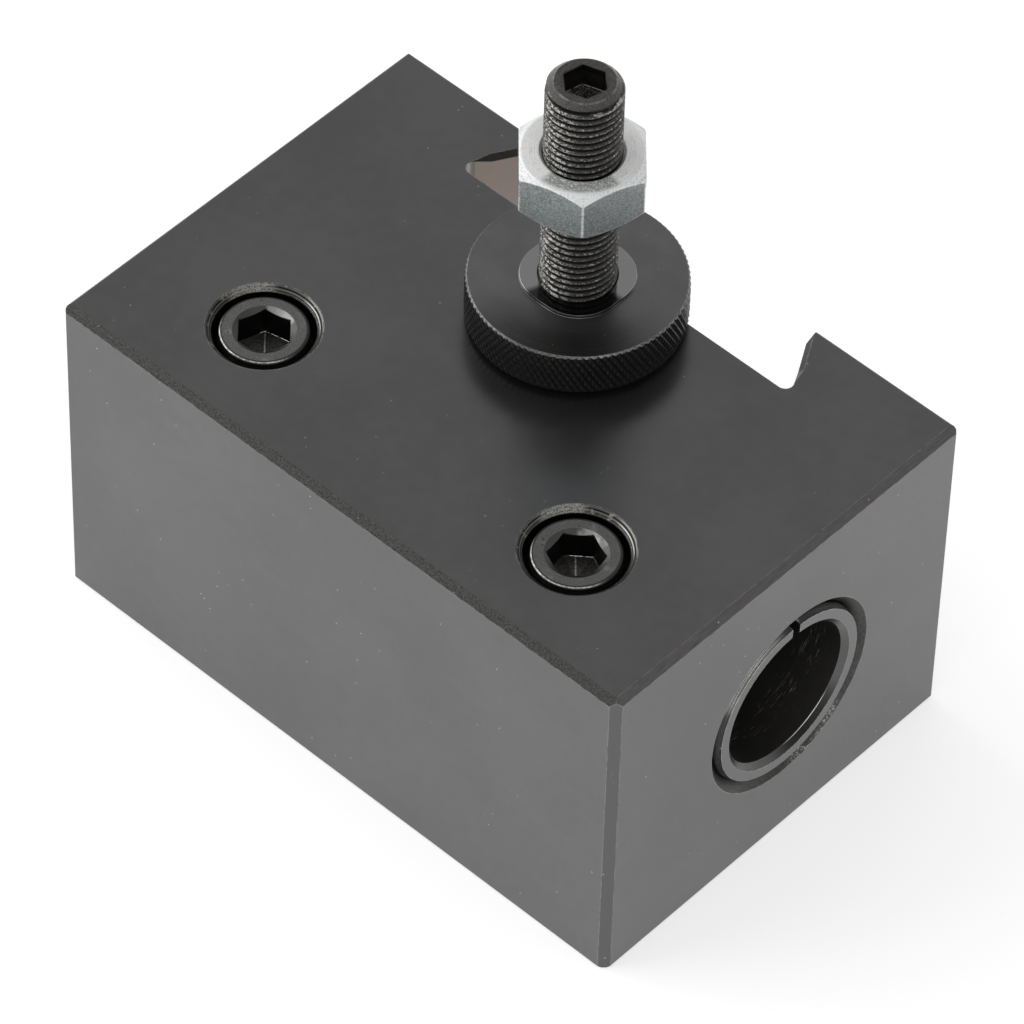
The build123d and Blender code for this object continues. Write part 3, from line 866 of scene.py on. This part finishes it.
def build_wheel(form):
    """The knurled nut, with a low square hub."""
    around = knurl_ridges * knurl_steps
    middle = (stud_x, stud_y)
    angles = [2 * math.pi * i / around for i in range(around)]
    bottom = wheel_low.z
    top = wheel_high.z - hub_height
    lean = math.tan(knurl_lean) * knurl_ridges / (2 * math.pi * wheel_radius)

    rows = []
    steps = 30
    chamfer_steps = 4
    inner_low = bottom + wheel_chamfer + 0.02 * MM
    inner_high = top - wheel_chamfer - 0.02 * MM
    for k in range(chamfer_steps):
        rows.append(bottom + wheel_chamfer * k / chamfer_steps)
    for k in range(steps + 1):
        rows.append(inner_low + (inner_high - inner_low) * k / steps)
    for k in range(1, chamfer_steps + 1):
        rows.append(top - wheel_chamfer + wheel_chamfer * k / chamfer_steps)

    def height(angle, z):
        """Radius of the knurl, where two sets of slanting grooves cross."""
        first = angle * knurl_ridges / (2 * math.pi) + (z - bottom) * lean
        second = angle * knurl_ridges / (2 * math.pi) - (z - bottom) * lean
        a = abs(2 * (first % 1.0) - 1)
        b = abs(2 * (second % 1.0) - 1)
        sunk = max(a, knurl_cross * b)
        sunk = max(sunk - knurl_crest, 0) / (1 - knurl_crest)
        r = wheel_radius - knurl_depth * sunk
        limit = wheel_radius - max(0.0, bottom + wheel_chamfer - z, z - (top - wheel_chamfer))
        return min(r, limit)

    rings = [ring(form, middle, [height(a, z) for a in angles], angles, z) for z in rows]
    for low, high in zip(rings, rings[1:]):
        skin(form, low, high, smooth=False)

    def hub(inset):
        """Distances from the middle to a square with large rounded corners."""
        middle_of_corner = hub_half - hub_corner
        radii = []
        for a in angles:
            longer = max(abs(math.cos(a)), abs(math.sin(a)))
            shorter = min(abs(math.cos(a)), abs(math.sin(a)))
            r = hub_half / longer
            if r * shorter > middle_of_corner:
                along = middle_of_corner * (longer + shorter)
                r = along + math.sqrt(along**2 - 2 * middle_of_corner**2 + hub_corner**2)
            radii.append(r - inset)
        return radii

    lathe = [
        (hub(0.0), top),
        (hub(0.0), top + hub_height - hub_edge),
        (hub(hub_edge), top + hub_height),
        (stud_hole_radius + wheel_mouth, top + hub_height),
        (stud_hole_radius, top + hub_height - wheel_mouth),
        (stud_hole_radius, bottom + wheel_mouth_low),
        (stud_hole_radius + wheel_mouth_low, bottom),
    ]

    def twin(old):
        """A second ring on the same places, so that flat faces keep sharp corners."""
        return ring(form, middle, [math.dist(v.co.xy, middle) for v in old], angles, old[0].co.z)

    previous = rings[-1]
    for r, z in lathe:
        start = twin(previous)
        previous = ring(form, middle, r, angles, z)
        skin(form, start, previous)
    skin(form, twin(previous), twin(rings[0]))


def build_stud(form):
    """The stud: a helix for its thread, then its top, its hex socket and its plain lower end."""
    around = 96
    middle = (stud_x, stud_y)
    angles = [stud_turn + 2 * math.pi * i / around for i in range(around + 1)]
    top = stud_high.z
    bottom = stud_low.z
    thread_low = block_top - thread_below
    flat = stud_radius - stud_chamfer
    crest_round = 0.04 * MM
    root_round = 0.06 * MM
    # One turn of the thread: share of the pitch, and how deep the surface lies there
    profile = [
        (-0.085, crest_round),
        (-0.05, 0.0),
        (0.05, 0.0),
        (0.085, crest_round),
        (0.40, thread_depth - root_round),
        (0.46, thread_depth),
        (0.54, thread_depth),
        (0.60, thread_depth - root_round),
    ]

    def point(angle, z, sunk):
        """A place on the helix, cut off at the thread's foot, the chamfer and the top."""
        r = stud_radius - sunk
        if z <= thread_low:
            z = thread_low
            r = stud_radius - thread_depth
        z = min(z, top)
        r = min(r, flat + (top - z))
        return (middle[0] + r * math.cos(angle), middle[1] + r * math.sin(angle), z)

    # The helix starts and ends past the thread's foot and top, where point() cuts it off
    turns = int((top - thread_low) / thread_pitch) + 3
    rows = []
    for k in range(turns):
        for share, sunk in profile:
            rows.append((thread_low + (k - 1.5 + share) * thread_pitch, sunk))
    previous = None
    for z, sunk in rows:
        line = []
        for i, angle in enumerate(angles):
            line.append(form.verts.new(point(angle, z + thread_pitch * i / around, sunk)))
        if previous:
            for i in range(around):
                face = form.faces.new((previous[i], previous[i + 1], line[i + 1], line[i]))
                face.smooth = True
        previous = line
    bmesh.ops.remove_doubles(form, verts=form.verts, dist=1e-7)

    angles = angles[:-1]
    walls = hexagon_radii(around, stud_socket / 2)
    mouth = hexagon_radii(around, stud_socket / 2 + stud_socket_edge)
    socket_floor = top - stud_socket_depth
    upper = [
        (flat, top),
        (mouth, top),
        (walls, top - stud_socket_edge),
        (walls, socket_floor),
        (pinhole, socket_floor - stud_dish),
    ]
    skin_all(form, middle, angles, upper)
    core = stud_radius - thread_depth
    lower = ring(form, middle, core, angles, bottom)
    skin(form, lower, ring(form, middle, core, angles, thread_low))
    form.faces.new(list(reversed(ring(form, middle, core, angles, bottom))))


def build_screw(form, middle, turn):
    """A socket head cap screw, from the tip of its shank to the floor of its socket."""
    around = 144
    angles = [turn + 2 * math.pi * i / around for i in range(around)]
    top = left_high.z
    seat = top - head_height
    tip = left_low.z
    outline = [
        (pinhole, tip),
        (shank_radius - shank_chamfer, tip),
        (shank_radius, tip + shank_chamfer),
        (shank_radius, seat),
        (head_radius - head_foot, seat),
        (head_radius, seat + head_foot),
        (head_radius, top - head_round),
    ]
    round_steps = 6
    for k in range(1, round_steps + 1):
        a = math.pi / 2 * k / round_steps
        out = head_radius - head_round + head_round * math.cos(a)
        outline.append((out, top - head_round + head_round * math.sin(a)))
    outline.append((socket_mouth, top))
    skin_all(form, middle, angles, outline)
    half = screw_socket / 2
    walls = hexagon_radii(around, half)
    mouth = ring(form, middle, socket_mouth, angles, top)
    rim = ring(form, middle, walls, angles, top)
    for vert, wall in zip(rim, walls):
        vert.co.z = top - socket_bevel * (socket_mouth - wall) / (socket_mouth - half)
    skin(form, mouth, rim)
    upper = ring(form, middle, walls, angles, top)
    for vert, twin in zip(upper, rim):
        vert.co.z = twin.co.z
    floor = top - screw_socket_depth
    skin(form, upper, ring(form, middle, walls, angles, floor), smooth=False)
    floor_edge = ring(form, middle, walls, angles, floor)
    skin(form, floor_edge, ring(form, middle, pinhole, angles, floor - screw_dish), smooth=False)


dress("holder_body", block_material())
dress("split_sleeve", sleeve_material())
plug = plug_material()
for level in ("upper", "lower"):
    for side in ("left", "right"):
        dress(level + "_clamp_plug_" + side, plug)
dress("locknut", zinc_material())
for side, x_middle, turn in (("left", left_x, left_turn), ("right", right_x, right_turn)):
    new_piece(
        "socket_screw_" + side,
        lambda form: build_screw(form, (x_middle, clamp_y), turn),
        side + "_screw",
        "cap_screw_" + side,
        screw_material("black_oxide_screw_" + side, x_middle),
    )
new_piece("knurled_nut", build_wheel, "height_nut", "height_nut", wheel_material())
new_piece("threaded_stud", build_stud, "holder", "height_stud", stud_material())

# Floor
floor_mesh = bpy.data.meshes.new("studio_floor")
corners = [(-1, -1), (1, -1), (1, 1), (-1, 1)]
floor_z = block_low.z - floor_drop
floor_mesh.from_pydata(
    [(x * floor_reach, y * floor_reach, floor_z) for x, y in corners],
    [],
    [(0, 1, 2, 3)],
)
floor_mesh.materials.append(floor_material())
floor = bpy.data.objects.new("studio_floor", floor_mesh)
bpy.context.collection.objects.link(floor)

# World: white round the horizon, a plain grey above it
world = bpy.data.worlds.new("studio")
bpy.context.scene.world = world
world.use_nodes = True
tree = world.node_tree
tree.nodes.clear()
way = tree.nodes.new("ShaderNodeTexCoord")
split = tree.nodes.new("ShaderNodeSeparateXYZ")
tree.links.new(way.outputs["Generated"], split.inputs[0])
fade = tree.nodes.new("ShaderNodeMapRange")
fade.interpolation_type = "SMOOTHSTEP"
tree.links.new(split.outputs["Z"], fade.inputs["Value"])
fade.inputs["From Min"].default_value = horizon_top
fade.inputs["From Max"].default_value = sky_bottom
fade.inputs["To Min"].default_value = horizon_level
fade.inputs["To Max"].default_value = sky_level
sky = tree.nodes.new("ShaderNodeBackground")
sky.inputs["Color"].default_value = (1, 1, 1, 1)
tree.links.new(fade.outputs[0], sky.inputs["Strength"])
world_out = tree.nodes.new("ShaderNodeOutputWorld")
tree.links.new(sky.outputs[0], world_out.inputs["Surface"])


def softbox(name, direction, size, level):
    """A square lamp that shines at the object with a brightness of level."""
    data = bpy.data.lights.new(name, "AREA")
    data.shape = "SQUARE"
    data.size = size
    data.energy = math.pi * size * size * level
    lamp = bpy.data.objects.new(name, data)
    way = Vector(direction).normalized()
    lamp.location = way * lamp_distance + Vector(lamp_aim)
    lamp.rotation_euler = way.to_track_quat("Z", "Y").to_euler()
    bpy.context.collection.objects.link(lamp)


softbox("key_light", (-0.687, -0.481, 0.58), 1.9, 1.35)
softbox("fill_light", (0.694, -0.324, 0.643), 1.2, 1.0)
softbox("side_light", (-0.918, 0.044, 0.385), 0.8, 2.6)

# Camera at the photo's viewing angle. Its place and its axes were solved from the block's
# edges in the photo.
camera_data = bpy.data.cameras.new("photo_camera")
camera_data.lens = 261.0
camera_data.sensor_width = 36.0
camera_data.clip_start = 0.05
camera_data.clip_end = 50.0
camera = bpy.data.objects.new("photo_camera", camera_data)
right = Vector((0.73058, 0.68254, 0.01997))
down = Vector((0.52241, -0.53987, -0.66003))
forward = Vector((-0.43971, 0.49263, -0.75098))
turn = Matrix((right, -down, -forward)).transposed().to_4x4()
place = (0.50607, -0.5652, 0.89244)
camera.matrix_world = Matrix.Translation(place) @ turn
bpy.context.collection.objects.link(camera)
bpy.context.scene.camera = camera
bpy.context.scene.view_settings.view_transform = "Standard"
